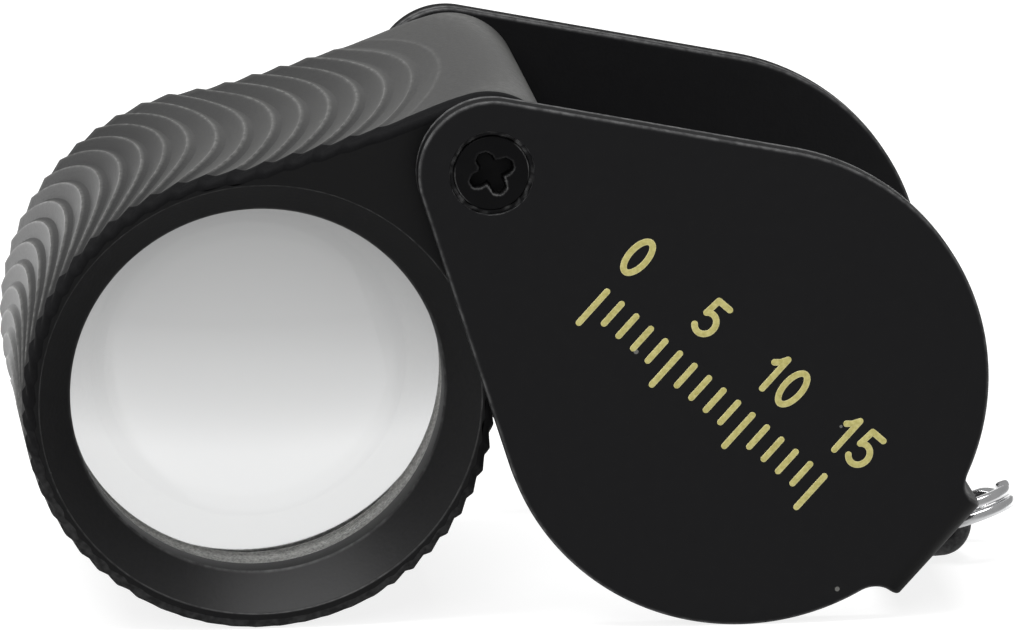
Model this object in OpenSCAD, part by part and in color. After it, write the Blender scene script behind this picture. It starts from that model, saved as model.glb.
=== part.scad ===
// Folding triplet loupe, standing open on its rims.
// A folded sheet case, a lens head that swings out of it on a screwed pivot post,
// a swivel eye in the case's bight and a small split ring through the eye.
// Millimetres, +Z up, optical axis along Y, the eye side facing -Y.
// Origin: on the optical axis, where the eye side's funnel meets the straight wall.

/* [Lens head] */
// Radius of the head's round end
head_r = 11.4; // [11:0.1:12.5]
// Radius of the head's arm round the pivot
arm_r = 3.45; // [3.2:0.05:4.5]
// Distance from the pivot to the optical axis
head_reach = 15.7; // [15.2:0.1:18]
// Depth of the head along the optical axis
head_depth = 17.46; // [16.5:0.1:20]
// Width of the flat rim round each funnel
rim_w = 0.8; // [0.6:0.05:1]
// Depth of each funnel
funnel_depth = 1.9; // [1.4:0.1:2.2]
// Radius of the clear opening
aperture_r = 9; // [8:0.1:9.3]
// Length of the straight wall behind the eye side's funnel
lip_len = 1.2; // [0.8:0.1:1.5]

/* [Grip] */
// Depth of the grip's grooves at the middle of the head's side
grip_depth = 0.24; // [0.12:0.02:0.3]
// Depth of the grooves at the head's two faces
grip_edge_depth = 0.17; // [0.08:0.01:0.22]
// Distance between ridges round the head's round end
grip_pitch = 1.19; // [1.05:0.01:2]
// Distance between ridges along the flanks
flank_pitch = 1.41; // [1.1:0.01:2]
// Radius of each ridge's bow across the side
grip_bow_r = 13.5; // [12:0.5:30]
// Depth of the shallow hollow along each flank
flank_waist = 0.28; // [0.1:0.02:0.3]

/* [Triplet] */
// How far the glass reaches behind the opening's edge
glass_seat = 0.5; // [0.3:0.05:0.6]
// Radius of curvature of the two outer faces
outer_curve_r = 22; // [20:0.5:28]
// Radius of curvature of the two cemented faces
inner_curve_r = 15.5; // [14:0.25:20]
// Thickness of the middle element at its edge
crown_edge = 0.35; // [0.2:0.05:1]
// Thickness of each outer element on the axis
flint_centre = 1.8; // [1.5:0.1:2.2]
// Thickness of the cement between two elements
cement_gap = 0.03; // [0.02:0.01:0.05]

/* [Barrel and rings] */
// Wall of the barrel round the glass
barrel_wall = 0.65; // [0.5:0.05:0.7]
// Radial clearance round the glass, the barrel and the screwed rings
ring_gap = 0.05; // [0.03:0.01:0.06]
// End clearance between pieces stacked along the axis
stack_gap = 0.02; // [0.01:0.01:0.05]
// How much wider the barrel's ridged mouth is than the opening
mouth_relief = 0.15; // [0.1:0.05:0.3]
// Number of light trap grooves in the barrel's mouth
groove_count = 4; // [2:1:5]
// Depth of each light trap groove
groove_depth = 0.2; // [0.1:0.05:0.3]
// Depth of the thread cut for the glass's retaining ring
retainer_step = 0.25; // [0.15:0.05:0.3]
// Length of the glass's retaining ring
retainer_len = 2.3; // [1.8:0.1:2.5]
// Width of the spanner slots in the two screwed rings
slot_w = 1.2; // [0.8:0.1:1.6]
// Depth of the spanner slots
slot_depth = 0.6; // [0.4:0.1:0.8]

/* [Swing case] */
// Thickness of the folded sheet
sheet_t = 1.2; // [1:0.05:1.5]
// How much wider than the head the case's round end is, in radius
case_margin = 0.46; // [0.2:0.02:1]
// How much wider than the head's arm the case's pivot end is, in radius
pivot_margin = 0.08; // [0.05:0.01:0.5]
// How far the case's round end is centred beyond the folded head
disc_offset = 0.75; // [0:0.05:1]
// Width of the bight that joins the two plates
bight_w = 6; // [5:0.1:8]
// Outer radius of the bight's two bends
bend_r = 2; // [1.7:0.1:2.6]
// Radius of the fillets beside the bight
bight_fillet_r = 1.3; // [0.8:0.1:2]
// Free space between the folded head and the eye's inner end
bight_space = 0.6; // [0.4:0.1:2]

/* [Pivot] */
// Angle between the case and the head, 0 being folded
open_angle = 92; // [80:1:100]
// Gap between the head and each plate, filled by the friction washer
side_gap = 0.3; // [0.25:0.05:0.5]
// Running clearance between a washer and the head
washer_run = 0.04; // [0.02:0.01:0.08]
// Radius of the friction washers
washer_r = 3.2; // [2.8:0.05:3.4]
// Radius of the pivot post
post_r = 2; // [1.9:0.05:2.2]
// Radial running clearance of the arm and the washers on the post
post_run = 0.05; // [0.03:0.01:0.08]
// Radius of the screws' threads
thread_r = 1.25; // [1.1:0.05:1.4]
// Length of each screw below its head
thread_len = 5.5; // [3:0.5:8]
// Radius of the screw heads
screw_head_r = 1.8; // [1.7:0.05:2]
// Height of the screw heads' straight edge
screw_edge = 0.15; // [0.1:0.01:0.2]
// How far the screw heads lie below the plate
screw_sink = 0.08; // [0.02:0.01:0.12]
// Clearance between a screw and its seat
screw_gap = 0.05; // [0.03:0.01:0.08]
// Width of the ring that shows round each screw head
seat_ring_w = 0.23; // [0.15:0.01:0.3]
// Distance from a screw's axis to the tips of its cross recess
cross_tip_r = 1.08; // [0.9:0.02:1.2]
// Width of the cross recess's wings
cross_w = 0.7; // [0.5:0.05:0.8]
// Depth of the cross recess
cross_depth = 0.6; // [0.4:0.05:0.7]
// Turn of the front screw's cross recess
cross_turn = 63; // [0:1:89]

/* [Swivel eye] */
// Radius of the eye's flat round lug
lug_r = 1.7; // [1.6:0.05:2.2]
// Thickness of the lug
lug_t = 1.5; // [1.3:0.05:1.8]
// Radius of the hole through the lug
lug_hole_r = 0.9; // [0.85:0.02:1]
// Gap between the lug and the bight
lug_stand = 0.1; // [0.06:0.02:0.6]
// Radius of the shank through the bight
shank_r = 0.95; // [0.8:0.05:1.1]
// Radial running clearance of the shank in the bight
shank_run = 0.05; // [0.03:0.01:0.08]
// Radius of the collar outside the bight
collar_r = 1.55; // [1.3:0.05:1.8]
// Thickness of the collar
collar_t = 0.4; // [0.3:0.05:0.6]
// End clearance of the collar and the washer on the bight
swivel_run = 0.05; // [0.03:0.01:0.08]
// Radius of the washer inside the bight
eye_washer_r = 1.9; // [1.6:0.05:2.4]
// Thickness of the washer
eye_washer_t = 0.3; // [0.2:0.05:0.4]
// Radius of the shank's riveted end
rivet_r = 1.5; // [1.2:0.05:1.6]
// Thickness of the riveted end
rivet_t = 0.45; // [0.3:0.05:0.6]
// Turn of the eye about the case's long axis
swivel_turn = -25; // [-90:1:90]

/* [Split ring] */
// Outer radius of the split ring
ring_r = 2.3; // [2.2:0.1:5]
// Width of the ring's wire across the ring
wire_w = 0.7; // [0.6:0.05:0.85]
// Thickness of the ring's wire along the ring's axis
wire_t = 0.55; // [0.4:0.05:0.55]
// Gap between the ring's two turns
turn_gap = 0.1; // [0.06:0.02:0.1]
// Angle over which the wire crosses from one turn to the other
jog_angle = 60; // [40:5:80]
// Place of that crossing, 0 being opposite the eye
jog_place = -10; // [-60:5:60]
// Swing of the ring in the eye, 0 being in line with the case
ring_swing = -58; // [-90:1:90]

/* [Hidden] */
$fn = 128;
small_fn = 64;
eps = 0.01;
case_black = [0.11, 0.11, 0.12];
head_black = [0.16, 0.16, 0.165];
anodised = [0.09, 0.09, 0.1];
screw_black = [0.1, 0.1, 0.1];
post_brass = [0.71, 0.58, 0.3];
nylon_grey = [0.55, 0.55, 0.52];
glass_tint = [0.75, 0.85, 0.9, 0.5];
chrome_light = [0.82, 0.83, 0.85];

// Depth of the faces, counted from the case's front face
face_y = sheet_t + side_gap;
case_depth = head_depth + 2 * face_y;
mid_y = case_depth / 2;

// Outlines
case_reach = head_reach + disc_offset;
case_disc_r = head_r + case_margin;
case_pivot_r = arm_r + pivot_margin;
bight_x = head_reach + head_r + bight_space + rivet_t + eye_washer_t + swivel_run + sheet_t;
hole_x = bight_x + lug_stand + lug_r;

// Tilt at which the case and the head both stand on the floor
stand_a = case_reach - head_reach * cos(open_angle);
stand_b = -head_reach * sin(open_angle);
stand_c = head_r - case_disc_r;
case_drop = asin(stand_c / norm([stand_a, stand_b])) - atan2(stand_b, stand_a);
head_drop = case_drop + open_angle;

// Optics, counted along the axis from the head's eye side face
function sag(curve, r) = curve - sqrt(curve * curve - r * r);
glass_r = aperture_r + glass_seat;
inner_sag = sag(inner_curve_r, glass_r);
crown_centre = crown_edge + 2 * inner_sag;
glass_centre = crown_centre + 2 * flint_centre + 2 * cement_gap;
mid_h = head_depth / 2;
barrel_mouth_r = aperture_r + mouth_relief;
seat_h = mid_h - glass_centre / 2 + sag(outer_curve_r, barrel_mouth_r) - stack_gap;
retainer_h = mid_h + glass_centre / 2 - sag(outer_curve_r, aperture_r) + stack_gap;
barrel_h = funnel_depth + lip_len + stack_gap;
barrel_end = retainer_h + retainer_len + stack_gap;
bezel_h = barrel_end + stack_gap;
mouth_r = head_r - rim_w;
barrel_r = glass_r + ring_gap + barrel_wall;
thread_bore_r = glass_r + ring_gap + retainer_step;
bezel_rim = 0.25;

// Grip: s is the distance round the head's outline from the upper flank's end
grip_start = -0.3;
valley_share = 0.7;
end_run = 0.8;
touch = 90 + asin((head_r - arm_r) / head_reach);
end_len = head_r * touch * PI / 90;
flank_len = sqrt(head_reach * head_reach - (head_r - arm_r) * (head_r - arm_r));
upper_count = floor((flank_len - end_run) / flank_pitch);
end_count = floor((end_len - grip_start) / grip_pitch);
end_reach = grip_start + end_count * grip_pitch;
lower_count = floor((end_len + flank_len - bow(head_depth / 2) - end_run - end_reach) / flank_pitch);
first_ridge = -upper_count;
last_ridge = end_count + lower_count;
row_shares = [-0.04, 0.12, 0.25, 0.41, 0.59, 0.75, 0.88, 1.04];
arm_steps = 12;
function bow(offset) = grip_bow_r - sqrt(grip_bow_r * grip_bow_r - offset * offset);
function ramp(t) = t <= 0 ? 0 : t >= 1 ? 1 : t * t * (3 - 2 * t);
function ridge_s(k) =
  k < 0 ? grip_start + k * flank_pitch :
  k <= end_count ? grip_start + k * grip_pitch :
  end_reach + (k - end_count) * flank_pitch;

// Hollow of the flank at s, none at the arm and on the round end
function waist(s) =
  let (near = s > end_len / 2 ? end_len - s : s)
  flank_waist * ramp((0.5 - near) / 3.5) * ramp((near + flank_len - 0.3) / 4);

// Point of the side at s, set inwards, as [x, z] from the pivot
function side_point(s, into) =
  let (on_end = min(max(s, 0), end_len))
  let (a = on_end / head_r * 180 / PI - touch)
  [head_reach, 0] + (head_r - into) * [cos(a), sin(a)] + (s - on_end) * [-sin(a), cos(a)];

// Screw seats
seat_r = screw_head_r + seat_ring_w;
seat_depth = screw_sink + screw_edge;
screw_hole_r = thread_r + 2 * screw_gap;
post_len = case_depth - 2 * sheet_t;

module along_y(y0, len) {
  translate([0, y0, 0]) rotate([-90, 0, 0]) linear_extrude(len) children();
}

module from_pivot() {
  translate([-head_reach * cos(head_drop), -face_y - funnel_depth, head_reach * sin(head_drop)]) children();
}

module case_frame() {
  from_pivot() rotate([0, case_drop, 0]) children();
}

module head_frame() {
  from_pivot() rotate([0, head_drop, 0]) children();
}

// +Z along the optical axis, 0 at the head's eye side face
module optics_frame() {
  head_frame() translate([head_reach, face_y, 0]) rotate([-90, 0, 0]) children();
}

// +X along the shank, +Y through the lug's hole
module eye_frame() {
  case_frame() translate([hole_x, mid_y, 0]) rotate([swivel_turn, 0, 0]) children();
}

// +Z along the ring's axis, the eye's hole at the ring's 180 degree point
module ring_frame() {
  eye_frame() rotate([0, ring_swing, 0]) children();
}

// Two round ends and the straight flanks that touch both, len deep from y0
module teardrop_block(big_r, small_r, reach, y0, len) {
  lean = asin((big_r - small_r) / reach);
  along_y(y0, len) translate([reach, 0]) circle(big_r);
  along_y(y0, len) circle(small_r);
  along_y(y0, len) polygon([
    small_r * [-sin(lean), cos(lean)],
    [reach - big_r * sin(lean), big_r * cos(lean)],
    [reach - big_r * sin(lean), -big_r * cos(lean)],
    small_r * [-sin(lean), -cos(lean)]
  ]);
}

// Outline of the head at one depth: a crest and a valley for each ridge, then the round arm
function grip_row(share) =
  let (offset = (share - 0.5) * head_depth)
  let (shift = bow(offset))
  let (far = pow(2 * share - 1, 2))
  let (groove = grip_depth + (grip_edge_depth - grip_depth) * far)
  let (y = face_y + share * head_depth)
  concat(
    [for (k = [first_ridge : last_ridge - 1])
      let (fade = min(1, (k - first_ridge + 1) / 3, (last_ridge - k) / 3))
      let (s = ridge_s(k) + shift)
      let (valley = s + valley_share * (ridge_s(k + 1) - ridge_s(k)))
      let (a = side_point(s, waist(s)), b = side_point(valley, waist(valley) + fade * groove))
      each [[a[0], y, a[1]], [b[0], y, b[1]]]],
    [let (s = ridge_s(last_ridge) + shift, a = side_point(s, waist(s))) [a[0], y, a[1]]],
    [for (i = [0 : arm_steps])
      let (a = touch + (360 - 2 * touch) * i / arm_steps)
      [arm_r * cos(a), y, arm_r * sin(a)]]
  );

// Bowed ridges round the head's side, one row of points at each depth, past both faces
module grip_block() {
  rows = [for (share = row_shares) grip_row(share)];
  n = len(rows[0]);
  last = len(rows) - 1;
  polyhedron(
    points = [for (row = rows) each row],
    faces = concat(
      [[for (j = [n - 1 : -1 : 0]) j]],
      [for (i = [0 : last - 1], j = [0 : n - 1]) [i * n + j, i * n + (j + 1) % n, (i + 1) * n + (j + 1) % n]],
      [for (i = [0 : last - 1], j = [0 : n - 1]) [i * n + j, (i + 1) * n + (j + 1) % n, (i + 1) * n + j]],
      [[for (j = [0 : n - 1]) last * n + j]]
    )
  );
}

// The ridged block between the head's two flat faces
module head_block() {
  span = 3 * head_reach;
  intersection() {
    grip_block();
    translate([-span, face_y, -span]) cube([3 * span, head_depth, 2 * span]);
  }
}

// Concave fillet between the case's round end and one side of the bight
module bight_fillet() {
  span = case_disc_r + bight_fillet_r;
  lift = bight_w / 2 + bight_fillet_r;
  disc = [case_reach, 0];
  centre = disc + [sqrt(span * span - lift * lift), lift];
  touch = disc + (centre - disc) * case_disc_r / span;
  difference() {
    polygon([touch, centre, [centre[0], bight_w / 2], disc]);
    translate(centre) circle(bight_fillet_r, $fn = small_fn);
  }
}

module case_plate(y0) {
  teardrop_block(case_disc_r, case_pivot_r, case_reach, y0, sheet_t);
  along_y(y0, sheet_t) bight_fillet();
  along_y(y0, sheet_t) mirror([0, 1]) bight_fillet();
}

// Strip with two rounded outer corners, seen along the bight's width
module bight_outline(inset) {
  r = bend_r - inset;
  x0 = case_reach;
  translate([x0, inset]) square([bight_x - bend_r - x0, case_depth - 2 * inset]);
  translate([x0, bend_r]) square([bight_x - inset - x0, case_depth - 2 * bend_r]);
  for (y = [bend_r, case_depth - bend_r])
    translate([bight_x - bend_r, y]) circle(r, $fn = small_fn);
}

// Seat of one pivot screw, cut from the plate's outer face inwards
module screw_seat() {
  cone = seat_depth + seat_r - screw_hole_r - seat_ring_w + screw_gap;
  rotate([-90, 0, 0]) {
    translate([0, 0, -eps]) cylinder(h = seat_depth + eps, r = seat_r, $fn = small_fn);
    translate([0, 0, seat_depth])
      cylinder(h = cone - seat_depth, r1 = screw_head_r + screw_gap, r2 = screw_hole_r, $fn = small_fn);
    cylinder(h = sheet_t + eps, r = screw_hole_r, $fn = small_fn);
  }
}

module swing_case() {
  color(case_black) case_frame() difference() {
    union() {
      case_plate(0);
      case_plate(case_depth - sheet_t);
      translate([0, 0, -bight_w / 2]) linear_extrude(bight_w) difference() {
        bight_outline(0);
        bight_outline(sheet_t);
      }
    }
    screw_seat();
    translate([0, case_depth, 0]) mirror([0, 1, 0]) screw_seat();
    translate([bight_x - 2 * sheet_t, mid_y, 0]) rotate([0, 90, 0])
      cylinder(h = 3 * sheet_t, r = shank_r + shank_run, $fn = small_fn);
  }
}

module pivot_post() {
  color(post_brass) case_frame() along_y(sheet_t, post_len) difference() {
    circle(post_r, $fn = small_fn);
    circle(thread_r + screw_gap, $fn = small_fn);
  }
}

module cross_wing() {
  run = cross_tip_r - cross_w / 2;
  square([2 * run, cross_w], center = true);
  for (side = [-1, 1]) translate([side * run, 0]) circle(cross_w / 2, $fn = 32);
}

// Countersunk screw pointing along +Y from the plate's outer face
module pivot_screw(turn) {
  cone = screw_head_r - thread_r;
  rotate([-90, 0, 0]) difference() {
    union() {
      translate([0, 0, screw_sink]) cylinder(h = screw_edge, r = screw_head_r, $fn = small_fn);
      translate([0, 0, seat_depth]) cylinder(h = cone, r1 = screw_head_r, r2 = thread_r, $fn = small_fn);
      translate([0, 0, seat_depth]) cylinder(h = cone + thread_len, r = thread_r, $fn = small_fn);
    }
    translate([0, 0, screw_sink - eps]) linear_extrude(cross_depth + eps)
      for (a = [0, 90]) rotate(turn + a) cross_wing();
  }
}

module front_pivot_screw() {
  color(screw_black) from_pivot() pivot_screw(cross_turn);
}

module rear_pivot_screw() {
  color(screw_black) from_pivot() translate([0, case_depth, 0]) mirror([0, 1, 0]) pivot_screw(-2 * cross_turn);
}

module friction_washer() {
  linear_extrude(side_gap - washer_run) difference() {
    circle(washer_r, $fn = small_fn);
    circle(post_r + post_run, $fn = small_fn);
  }
}

module front_friction_washer() {
  color(nylon_grey) from_pivot() translate([0, sheet_t, 0]) rotate([-90, 0, 0]) friction_washer();
}

module rear_friction_washer() {
  color(nylon_grey) from_pivot() translate([0, case_depth - sheet_t, 0]) rotate([90, 0, 0]) friction_washer();
}

module lens_housing() {
  color(head_black) head_frame() difference() {
    head_block();
    translate([head_reach, face_y, 0]) rotate([-90, 0, 0]) {
      funnel_cut();
      cylinder(h = barrel_h + eps, r = aperture_r);
      translate([0, 0, barrel_h - stack_gap]) cylinder(h = head_depth, r = barrel_r + ring_gap);
      translate([0, 0, barrel_end]) cylinder(h = head_depth, r = mouth_r);
    }
    along_y(0, case_depth) circle(post_r + post_run, $fn = small_fn);
  }
}

// Widens from the opening to the flat rim, cut from the face inwards
module funnel_cut() {
  slope = (mouth_r - aperture_r) / funnel_depth;
  translate([0, 0, -eps])
    cylinder(h = funnel_depth + eps, r1 = mouth_r + slope * eps, r2 = aperture_r);
}

module light_trap() {
  pitch = (seat_h - barrel_h) / (groove_count + 1);
  for (i = [1 : groove_count])
    translate([0, 0, barrel_h + i * pitch]) rotate_extrude()
      polygon([
        [barrel_mouth_r - eps, -0.4 * pitch],
        [barrel_mouth_r + groove_depth, 0],
        [barrel_mouth_r - eps, 0.4 * pitch]
      ]);
}

module lens_barrel() {
  color(anodised) optics_frame() difference() {
    translate([0, 0, barrel_h]) cylinder(h = barrel_end - barrel_h, r = barrel_r);
    cylinder(h = head_depth, r = barrel_mouth_r);
    translate([0, 0, seat_h]) cylinder(h = head_depth, r = glass_r + ring_gap);
    translate([0, 0, retainer_h - stack_gap]) cylinder(h = head_depth, r = thread_bore_r);
    light_trap();
  }
}

// Ball that one curved face of the glass is cut by; side -1 is the eye side
module curve_ball(side, curve, vertex, grow = 0) {
  translate([0, 0, mid_h + side * (vertex - curve)]) sphere(curve + grow);
}

module flint(side) {
  difference() {
    intersection() {
      translate([0, 0, mid_h + (side < 0 ? -glass_centre : 0)]) cylinder(h = glass_centre, r = glass_r);
      curve_ball(side, outer_curve_r, glass_centre / 2);
    }
    curve_ball(side, inner_curve_r, crown_centre / 2, cement_gap);
  }
}

module front_flint_lens() {
  color(glass_tint) optics_frame() flint(-1);
}

module rear_flint_lens() {
  color(glass_tint) optics_frame() flint(1);
}

module crown_lens() {
  color(glass_tint) optics_frame() intersection() {
    translate([0, 0, mid_h - crown_centre]) cylinder(h = 2 * crown_centre, r = glass_r);
    curve_ball(-1, inner_curve_r, crown_centre / 2);
    curve_ball(1, inner_curve_r, crown_centre / 2);
  }
}

// Two opposite slots for a pin spanner, cut down from height h
module spanner_slots(h) {
  translate([-head_r, -slot_w / 2, h - slot_depth]) cube([2 * head_r, slot_w, slot_depth + eps]);
}

module lens_retaining_ring() {
  color(anodised) optics_frame() difference() {
    translate([0, 0, retainer_h]) cylinder(h = retainer_len, r = thread_bore_r - ring_gap);
    cylinder(h = head_depth, r = aperture_r);
    spanner_slots(retainer_h + retainer_len);
  }
}

module rear_bezel_ring() {
  outer = mouth_r - ring_gap;
  inner = outer - bezel_rim;
  slope = (inner - aperture_r) / funnel_depth;
  color(head_black) optics_frame() difference() {
    translate([0, 0, bezel_h]) cylinder(h = head_depth - bezel_h, r = outer);
    cylinder(h = 2 * head_depth, r = aperture_r);
    translate([0, 0, head_depth - funnel_depth])
      cylinder(h = funnel_depth + eps, r1 = aperture_r, r2 = inner + slope * eps);
    spanner_slots(head_depth);
  }
}

module lanyard_eye() {
  outside = -lug_r - lug_stand;
  inside = outside - sheet_t - swivel_run - eye_washer_t;
  color(screw_black) eye_frame() difference() {
    union() {
      rotate([90, 0, 0]) cylinder(h = lug_t, r = lug_r, center = true, $fn = small_fn);
      rotate([0, 90, 0]) {
        translate([0, 0, inside - rivet_t]) cylinder(h = rivet_t, r1 = shank_r, r2 = rivet_r, $fn = small_fn);
        translate([0, 0, inside - eps]) cylinder(h = -inside, r = shank_r, $fn = small_fn);
        translate([0, 0, outside + swivel_run]) cylinder(h = collar_t, r = collar_r, $fn = small_fn);
      }
    }
    rotate([90, 0, 0]) cylinder(h = 2 * collar_r + lug_t, r = lug_hole_r, center = true, $fn = small_fn);
  }
}

module eye_washer() {
  outside = -lug_r - lug_stand;
  color(screw_black) eye_frame() rotate([0, 90, 0])
    translate([0, 0, outside - sheet_t - swivel_run - eye_washer_t]) linear_extrude(eye_washer_t) difference() {
      circle(eye_washer_r, $fn = small_fn);
      circle(shank_r + shank_run, $fn = small_fn);
    }
}

// Split ring: one flat wire in two turns, which a jog joins
ring_steps = 100;
ring_mid_r = ring_r - wire_w / 2;
turn_rise = wire_t + turn_gap;
ring_start = jog_place + jog_angle / 2;
ring_sweep = 720 - jog_angle;
jog_from = (ring_sweep - jog_angle) / 2;
wire_corner = 0.3 * wire_t;

function ease(t) = t <= 0 ? 0 : t >= 1 ? 1 : t * t * (3 - 2 * t);
function ring_angle(i) = ring_start + ring_sweep * i / ring_steps;
function ring_rise(i) =
  turn_rise * (ease((ring_sweep * i / ring_steps - jog_from) / jog_angle) - 0.5);

// The wire's section, a flat bar with cut corners, as [across, along the axis]
wire_section = let (a = wire_w / 2, b = wire_t / 2, c = wire_corner)
  [[a, c - b], [a, b - c], [a - c, b], [c - a, b], [-a, b - c], [-a, c - b], [c - a, -b], [a - c, -b]];

function ring_point(i, s) = let (a = ring_angle(i), r = ring_mid_r + s[0])
  [ring_mid_r + r * cos(a), r * sin(a), ring_rise(i) + s[1]];

module split_ring() {
  n = len(wire_section);
  points = [for (i = [0 : ring_steps]) for (s = wire_section) ring_point(i, s)];
  sides = [for (i = [0 : ring_steps - 1]) for (k = [0 : n - 1])
    let (p = i * n + k, q = i * n + (k + 1) % n)
      each [[p, q, q + n], [p, q + n, p + n]]];
  first_end = [for (k = [1 : n - 2]) [0, k + 1, k]];
  last = ring_steps * n;
  last_end = [for (k = [1 : n - 2]) [last, last + k, last + k + 1]];
  color(chrome_light) ring_frame() polyhedron(points, concat(sides, first_end, last_end));
}

// Least gap between the ring's turns, measured on its wire's middle line
half_turn = floor(ring_steps * 180 / ring_sweep);
turn_distances = [for (i = [0 : ring_steps - half_turn]) for (j = [i + half_turn : ring_steps])
  norm(ring_point(i, [0, 0]) - ring_point(j, [0, 0]))];
echo(split_ring_least_gap = min(turn_distances) - wire_t);
echo(case_drop = case_drop, case_depth = case_depth, glass_centre = glass_centre);

swing_case();
pivot_post();
front_pivot_screw();
rear_pivot_screw();
front_friction_washer();
rear_friction_washer();
lens_housing();
lens_barrel();
front_flint_lens();
crown_lens();
rear_flint_lens();
lens_retaining_ring();
rear_bezel_ring();
lanyard_eye();
eye_washer();
split_ring();
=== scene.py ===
import bpy
import bmesh
import math
import numpy as np
from mathutils import Matrix


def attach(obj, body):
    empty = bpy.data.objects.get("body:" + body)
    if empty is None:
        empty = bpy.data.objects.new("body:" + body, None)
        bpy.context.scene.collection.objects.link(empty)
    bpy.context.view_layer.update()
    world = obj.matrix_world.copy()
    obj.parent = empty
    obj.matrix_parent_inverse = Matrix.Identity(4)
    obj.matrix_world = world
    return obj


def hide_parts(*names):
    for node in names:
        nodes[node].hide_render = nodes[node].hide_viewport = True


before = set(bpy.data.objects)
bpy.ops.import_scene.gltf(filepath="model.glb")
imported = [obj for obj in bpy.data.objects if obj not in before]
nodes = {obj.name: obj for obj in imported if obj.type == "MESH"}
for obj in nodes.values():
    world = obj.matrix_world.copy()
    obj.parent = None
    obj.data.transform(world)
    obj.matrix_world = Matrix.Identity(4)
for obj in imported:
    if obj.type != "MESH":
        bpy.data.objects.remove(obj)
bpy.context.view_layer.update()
print("frame loaded:", len(nodes), "nodes")

# Sizes are in millimetres and degrees. They become metres in gridPiece.
stand = {
    "caseDrop": 41.57005,      # the case's long axis, below the horizontal
    "openAngle": 92.0,
    "headReach": 15.7,         # pivot to optical axis
    "frontFace": -3.4,         # depth of the case's front face
    "caseDepth": 20.46,
    "headFront": -1.9,
    "headRear": 15.56,
    "floorHeight": -11.4,
    "eyeReach": 31.5,          # pivot to the eye's hole
    "swivelTurn": -25.0,
    "ringSwing": -58.0,
}


def turned(axes, about, degrees):
    # three axes, one in each row, turned about one of them by the right-hand rule
    c = math.cos(math.radians(degrees))
    s = math.sin(math.radians(degrees))
    a, b = [(1, 2), (2, 0), (0, 1)][about]
    result = axes.copy()
    result[a] = c * axes[a] + s * axes[b]
    result[b] = c * axes[b] - s * axes[a]
    return result


rowAxes = np.eye(3)
caseAxes = turned(rowAxes, 1, stand["caseDrop"])
headAxes = turned(caseAxes, 1, stand["openAngle"])
pivot = np.array([0.0, stand["frontFace"], 0.0]) - stand["headReach"] * headAxes[0]
midDepth = stand["caseDepth"] / 2
eyeAxes = turned(caseAxes, 0, stand["swivelTurn"])
eyeHole = pivot + stand["eyeReach"] * caseAxes[0] + midDepth * caseAxes[1]
ringAxes = turned(eyeAxes, 1, stand["ringSwing"])


def smoothStep(value):
    # 0 to 1 with level ends: 3 t^2 - 2 t^3
    t = np.clip(value, 0.0, 1.0)
    return t * t * (3 - 2 * t)


def fullTurn(count):
    # angles evenly round a circle, with the first not repeated
    return np.linspace(0, 2 * np.pi, count, endpoint=False)


quarter = np.radians(np.linspace(0, 90, 6))


def rounding(size, angles=quarter):
    # a rounded edge from face to side: how far in, size (1 - sin a), and how far down, size (1 - cos a)
    return [(size * (1 - math.sin(a)), size * (1 - math.cos(a))) for a in angles]


def addObject(name, data):
    # an object at the origin, put into the scene
    made = bpy.data.objects.new(name, data)
    bpy.context.scene.collection.objects.link(made)
    return made


def standAt(made, axes, place):
    # turns a camera or lamp to three axes, given as columns, and puts it in its place in metres
    made.matrix_world = Matrix([[*axes[k], place[k]] for k in range(3)] + [[0, 0, 0, 1]])


def gridPiece(name, grid, closedRows=False, closedColumns=True, marks=None, parts=None, finishes=()):
    # surface through a grid of points (rows, columns, 3): four neighbours make one face, and the grid may
    # close on itself either way; the UV map counts both ways from 0 to 1, and marks become point attributes
    rows, columns = grid.shape[:2]
    i, j = np.meshgrid(np.arange(rows if closedRows else rows - 1),
                       np.arange(columns if closedColumns else columns - 1), indexing="ij")
    i, j = i.ravel(), j.ravel()
    nextI, nextJ = (i + 1) % rows, (j + 1) % columns
    here, after = i * columns, nextI * columns
    quads = np.stack([here + j, here + nextJ, after + nextJ, after + j], 1)
    mesh = bpy.data.meshes.new(name)
    mesh.from_pydata((grid.reshape(-1, 3) * 0.001).tolist(), [], quads.tolist())
    across = np.stack([j, j + 1, j + 1, j], 1) / columns
    along = np.stack([i, i, i + 1, i + 1], 1) / rows
    chart = mesh.uv_layers.new(name="surface")
    chart.data.foreach_set("uv", np.stack([across, along], 2).astype(np.float32).ravel())
    for label in ("edge", "reach", "deep"):
        values = (marks or {}).get(label, np.zeros(grid.shape[:2]))
        layer = mesh.attributes.new(label, "FLOAT", "POINT")
        layer.data.foreach_set("value", np.broadcast_to(values, grid.shape[:2]).astype(np.float32).ravel())
    for finish in finishes:
        mesh.materials.append(finish)
    if parts is not None:
        mesh.polygons.foreach_set("material_index", parts[i, j].astype(np.int32))
    piece = addObject(name, mesh)
    tidyMesh(piece)
    return piece


def tidyMesh(piece):
    # closes seams and poles, and points every face outwards
    work = bmesh.new()
    work.from_mesh(piece.data)
    bmesh.ops.remove_doubles(work, verts=work.verts, dist=2e-7)
    bmesh.ops.dissolve_degenerate(work, edges=work.edges, dist=1e-8)
    bmesh.ops.recalc_face_normals(work, faces=work.faces)
    work.to_mesh(piece.data)
    work.free()


def joinPieces(name, pieces):
    # one object of several closed shells
    work = bmesh.new()
    for part in pieces:
        work.from_mesh(part.data)
    mesh = bpy.data.meshes.new(name)
    work.to_mesh(mesh)
    work.free()
    for part in pieces:
        bpy.data.objects.remove(part)
    return addObject(name, mesh)


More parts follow.
